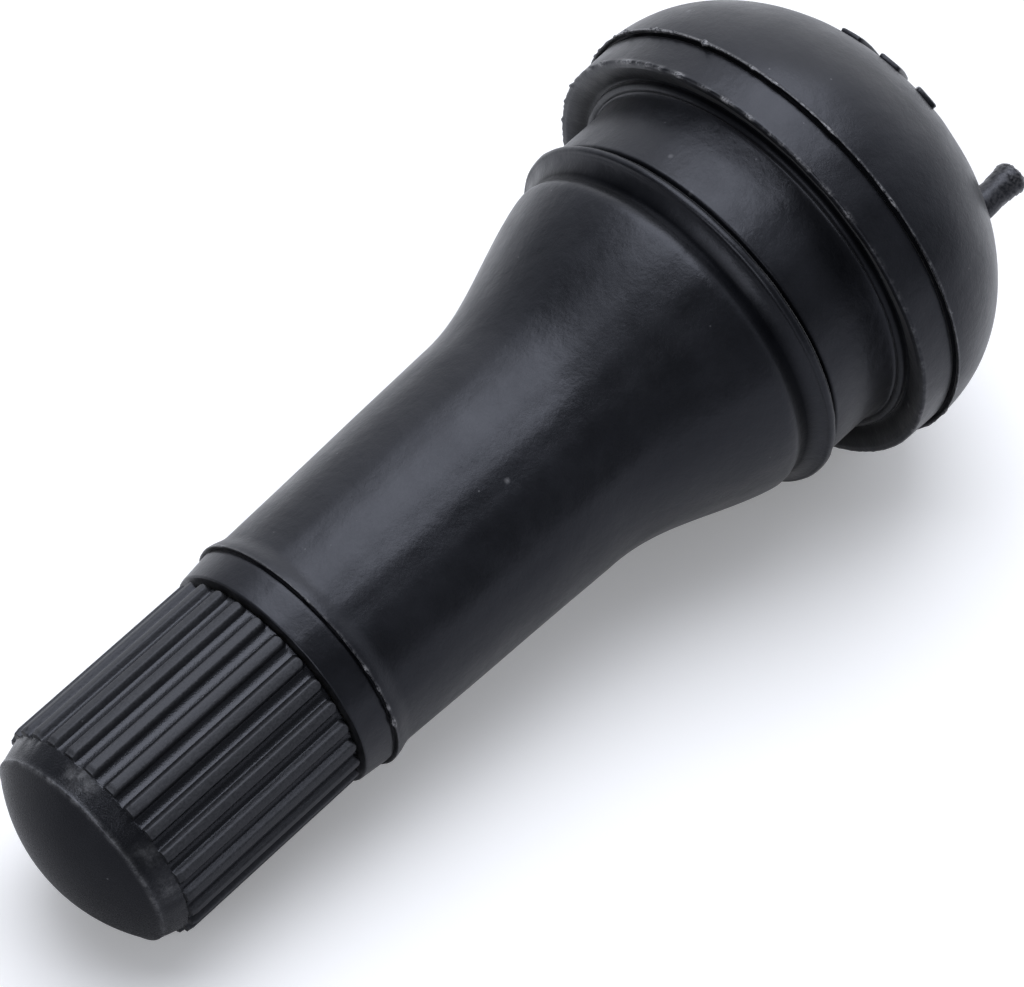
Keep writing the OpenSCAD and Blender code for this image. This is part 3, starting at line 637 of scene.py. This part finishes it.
def bump(tree, shader, height, depth):
    """Bump of a height of 0 to 1 that is depth mm deep."""
    made = add_node(tree, "Bump", Height=height, Strength=1.0, Distance=depth * MM)
    feed(tree, shader.inputs["Normal"], made.outputs["Normal"])


def specks(tree, place, scale, size, share):
    """Small soft round specks: near the points of scattered cells, in a share of the cells."""
    cells = add_node(tree, "TexVoronoi", Vector=place, Scale=scale)
    drawn = add_node(tree, "SeparateColor", Color=cells.outputs["Color"]).outputs["Red"]
    apart = maths(tree, "DIVIDE", cells.outputs["Distance"], size * scale)
    speck = ramp(tree, apart, (0.1, 1.0), (1.0, 0.0))
    return maths(tree, "MULTIPLY", speck, maths(tree, "LESS_THAN", drawn, share))


def moulded_rubber():
    """Black rubber: mottled, with a soft sheen at grazing angles, paler torn flash and dust specks,
    and painted shade: little gloss in the slits, the dip and the dish."""
    dark, pale = (0.0022, 0.0025, 0.0034), (0.006, 0.0065, 0.0085)
    torn_grey, dust_grey, mottle_depth = (0.3, 0.3, 0.31), (0.11, 0.11, 0.117), 18.0
    material, tree, shader, place = new_finish(
        "moulded_rubber", (0.004, 0.0045, 0.0055), 0.32, Sheen_Weight=0.14, Sheen_Roughness=0.3,
        Specular_Tint=(0.85, 0.88, 1.0, 1))
    mottle = noise(tree, place, 0.45, 6.0, 0.6)
    grain = noise(tree, place, 9.0, 4.0, 0.65)
    torn = maths(tree, "MULTIPLY", mark(tree, "flash"), ramp(tree, grain, (0.4, 0.0), (0.62, 1.0)))
    large, small = specks(tree, place, 0.5, 0.14, 0.4), specks(tree, place, 1.5, 0.05, 0.16)
    colour = blend_colour(tree, torn, ramp(tree, mottle, (0.3, dark), (0.7, pale)), torn_grey)
    colour = blend_colour(tree, maths(tree, "MAXIMUM", large, small), colour, dust_grey)
    feed(tree, shader.inputs["Base Color"], colour)
    patch = maths(tree, "MULTIPLY_ADD", mottle, 0.7, maths(tree, "MULTIPLY", grain, 0.3))
    feed(tree, shader.inputs["Roughness"], ramp(tree, patch, (0.3, 0.27), (0.7, 0.46)))
    bump(tree, shader, maths(tree, "MULTIPLY_ADD", mottle, mottle_depth, grain), 0.0035)
    # Painted shade: the gloss falls where the shade mark is high.
    gloss = ramp(tree, mark(tree, "grime"), (0.0, 0.5), (0.9, 0.06))
    feed(tree, shader.inputs["Specular IOR Level"], gloss)
    return material


def cap_plastic():
    """Black moulded plastic, finely pitted, scuffed paler on the ribs and along the dome's edge."""
    dark, pale = (0.003, 0.0033, 0.004), (0.007, 0.0074, 0.0088)
    scuff_grey, bare_grey, dust_grey = (0.036, 0.037, 0.04), (0.13, 0.132, 0.138), (0.2, 0.2, 0.21)
    material, tree, shader, place = new_finish(
        "cap_moulding", (0.006, 0.0065, 0.0075), 0.36, Specular_Tint=(0.85, 0.88, 1.0, 1))
    mottle = noise(tree, place, 0.8, 5.0)
    grain = noise(tree, place, 12.0, 3.0, 0.6)
    patches = ramp(tree, noise(tree, place, 3.0, 4.0), (0.4, 0.25), (0.6, 1.0))
    ridge = mark(tree, "ridge")
    scuff = maths(tree, "MULTIPLY", ridge, ramp(tree, grain, (0.35, 0.35), (0.65, 1.0)))
    bare = maths(tree, "MULTIPLY", mark(tree, "rubbed"), patches)
    colour = blend_colour(tree, scuff, ramp(tree, mottle, (0.3, dark), (0.7, pale)), scuff_grey)
    colour = blend_colour(tree, bare, colour, bare_grey)
    colour = blend_colour(tree, specks(tree, place, 0.8, 0.06, 0.25), colour, dust_grey)
    feed(tree, shader.inputs["Base Color"], colour)
    pitted = ramp(tree, grain, (0.3, 0.2), (0.7, 0.32))
    feed(tree, shader.inputs["Roughness"], maths(tree, "MULTIPLY_ADD", ridge, 0.26, pitted))
    bump(tree, shader, grain, 0.012)
    return material


def turned_metal(name, light, dark, rough):
    """Turned metal: fine rings round the valve's axis from noise of the height alone, and a slow
    stain between a light and a dark tone."""
    stained_rough, rings_per_mm = rough + 0.14, 14.0
    material, tree, shader, place = new_finish(name, light, rough, Metallic=1.0)
    rings = add_node(tree, "TexNoise")
    rings.noise_dimensions = "1D"
    for socket, value in (("W", dot(tree, place, AXIS)), ("Scale", rings_per_mm), ("Detail", 3.0)):
        feed(tree, rings.inputs[socket], value)
    stain = noise(tree, place, 0.7, 4.0)
    feed(tree, shader.inputs["Base Color"], ramp(tree, stain, (0.35, dark), (0.65, light)))
    feed(tree, shader.inputs["Roughness"], ramp(tree, stain, (0.3, stained_rough), (0.7, rough)))
    bump(tree, shader, rings.outputs["Fac"], 0.006)
    return material


def soft_ring(name, light, dark):
    """Plain moulded rubber of a small ring, mottled between two tones."""
    material, tree, shader, place = new_finish(name, light, 0.6)
    grain = noise(tree, place, 6.0, 4.0)
    feed(tree, shader.inputs["Base Color"], ramp(tree, grain, (0.3, dark), (0.7, light)))
    feed(tree, shader.inputs["Roughness"], ramp(tree, grain, (0.3, 0.52), (0.7, 0.7)))
    bump(tree, shader, grain, 0.01)
    return material


def dress(piece, material):
    """Gives a piece one material."""
    piece.data.materials.clear()
    piece.data.materials.append(material)


def floor_white():
    """White floor: lit, with a little glow of its own, so that it is white to the camera where the
    light falls and keeps the shadow. Mirrored in the valve it is as white behind, and darker towards
    the front and past the cap's end, as is the light it throws back: painted shade that the camera
    does not see."""
    seen_white, glow = (0.95, 0.955, 0.97), 0.18
    front_shade_grey, back_white, cap_end_shade_grey = (0.55, 0.55, 0.57), (0.8, 0.805, 0.82), (0.27, 0.27, 0.28)
    to_back, middle, cap_shade_slope, cap_shade_edge = (8.0, 18.0, 0.0), 0.5, 150.0, 5.5
    material = bpy.data.materials.new("white_floor")
    material.use_nodes = True
    tree = material.node_tree
    tree.nodes.remove(tree.nodes["Principled BSDF"])
    rays = add_node(tree, "LightPath").outputs
    seen = rays["Is Camera Ray"]
    mirrored = maths(tree, "MAXIMUM", rays["Is Glossy Ray"], rays["Is Transmission Ray"])
    place = add_node(tree, "TexCoord").outputs["Object"]
    share = maths(tree, "ADD", dot(tree, place, to_back), middle)
    # Painted shade for reflections and bounced light: the floor greys towards the front.
    thrown = ramp(tree, share, (0.1, front_shade_grey), (0.6, back_white))
    # Painted shade: past the cap's end the floor turns a darker grey for reflections and bounced light.
    along_x = add_node(tree, "SeparateXYZ", Vector=place).outputs["X"]
    before_cap = maths(tree, "MULTIPLY_ADD", along_x, cap_shade_slope, cap_shade_edge)
    thrown = blend_colour(tree, before_cap, cap_end_shade_grey, thrown)
    diffuse = add_node(tree, "BsdfDiffuse", Color=blend_colour(tree, seen, thrown, seen_white))
    behind = maths(tree, "MULTIPLY", mirrored, ramp(tree, share, (0.2, 0.0), (0.6, 1.0)))
    strength = maths(tree, "MULTIPLY", maths(tree, "MAXIMUM", seen, behind), glow)
    own = add_node(tree, "Emission", Strength=strength)
    both = add_node(tree, "AddShader")
    feed(tree, both.inputs[0], diffuse.outputs["BSDF"])
    feed(tree, both.inputs[1], own.outputs["Emission"])
    feed(tree, tree.nodes["Material Output"].inputs["Surface"], both.outputs["Shader"])
    return material


def make_floor():
    """A wide square floor under the lowest point, in metres."""
    low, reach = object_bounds()[0].z, np.array([-3.0, 3.0])
    x, y = np.meshgrid(reach, reach)
    corners = np.column_stack([x.ravel(), y.ravel(), np.full(4, low)])
    mesh = bpy.data.meshes.new("studio_floor")
    mesh.from_pydata(corners.tolist(), [], [(0, 1, 3, 2)])
    floor = bpy.data.objects.new("studio_floor", mesh)
    bpy.context.scene.collection.objects.link(floor)
    dress(floor, floor_white())


def placed(turn, place):
    """Matrix from a turn's three columns and a place."""
    return Matrix(np.block([[turn, np.reshape(place, (3, 1))], [np.zeros(3), 1]]).tolist())


def soft_lamp(name, away, distance, size, power, colour):
    """A square lamp that looks at the origin from a direction. Its axes are the direction, a level
    cross product with it, and the cross product of the two."""
    lamp = bpy.data.lights.new(name, "AREA")
    lamp.shape = "SQUARE"
    lamp.size = size
    lamp.energy = power
    lamp.color = colour
    away = np.array(away) / np.linalg.norm(away)
    right = np.cross([0, 0, 1], away)
    right = right / np.linalg.norm(right)
    holder = bpy.data.objects.new(name, lamp)
    holder.matrix_world = placed(np.stack([right, np.cross(away, right), away], axis=1), away * distance)
    bpy.context.scene.collection.objects.link(holder)


def make_light():
    """A wide soft lamp overhead, a fill from the cap's side, and a sky palest at the head's side."""
    soft_lamp(
        "soft_key", away=(0.13, 0.13, 0.97), distance=0.4, size=0.36, power=1.2, colour=(0.93, 0.95, 1.0))
    soft_lamp(
        "side_fill", away=(-0.88, -0.25, 0.42), distance=0.45, size=0.3, power=0.55,
        colour=(0.95, 0.96, 1.0))
    palest_at = (0.85, 0.43, 0.3)
    dim, grey, pale, bright = (0.13, 0.134, 0.145), (0.46, 0.475, 0.52), (0.8, 0.82, 0.88), (1.2, 1.22, 1.28)
    world = bpy.data.worlds.new("studio")
    bpy.context.scene.world = world
    world.use_nodes = True
    tree = world.node_tree
    place = add_node(tree, "TexCoord").outputs["Generated"]
    share = maths(tree, "MULTIPLY_ADD", dot(tree, place, palest_at), 0.5, 0.5)
    sky = ramp(tree, share, (0.54, dim), (0.74, grey), (0.87, pale), (0.95, bright))
    feed(tree, tree.nodes["Background"].inputs["Color"], sky)
    feed(tree, tree.nodes["Background"].inputs["Strength"], 1.0)


def make_camera():
    """A camera at the photograph's viewing angle. The model's origin lies ahead of it, a little to
    the right of and above the middle of its frame, in mm."""
    focal_px, frame_px, sensor_mm = 4400, 1024, 36
    origin_right, origin_down, origin_ahead = 8.625, -8.85, 167.307
    right, forward = np.array([0.6979, -0.7162, 0.0]), np.array([0.4748, 0.4627, -0.7486])
    down = np.cross(forward, right)
    camera = bpy.data.objects.new("camera", bpy.data.cameras.new("camera"))
    place = -(origin_right * right + origin_down * down + origin_ahead * forward) * MM
    camera.matrix_world = placed(np.stack([right, -down, -forward], axis=1), place)
    camera.data.sensor_width = sensor_mm
    camera.data.lens = focal_px / frame_px * sensor_mm
    camera.data.clip_start, camera.data.clip_end = 0.01, 20
    bpy.context.scene.collection.objects.link(camera)
    bpy.context.scene.camera = camera


make_camera()
make_light()
make_floor()
bpy.context.scene.view_settings.view_transform = "Standard"

dress(make_rubber(), moulded_rubber())
dress(make_cap(), cap_plastic())
dress(make_brass(), turned_metal("turned_brass", (0.78, 0.56, 0.25), (0.62, 0.41, 0.17), 0.24))

core_brass = turned_metal("core_turned_brass", (0.84, 0.64, 0.32), (0.7, 0.5, 0.22), 0.22)
core_steel = turned_metal("drawn_steel", (0.62, 0.63, 0.65), (0.5, 0.51, 0.53), 0.26)
seal = soft_ring("seal_rubber_black", (0.03, 0.03, 0.032), (0.016, 0.016, 0.018))
gasket = soft_ring("gasket_rubber_red", (0.4, 0.06, 0.045), (0.28, 0.035, 0.028))
for material, names in (
        (core_brass, ("core_plug", "core_barrel", "core_pin", "core_poppet")),
        (core_steel, ("core_spring",)), (seal, ("poppet_seal", "cap_washer")), (gasket, ("core_gasket",))):
    for name in names:
        dress(frame["nodes"][name], material)
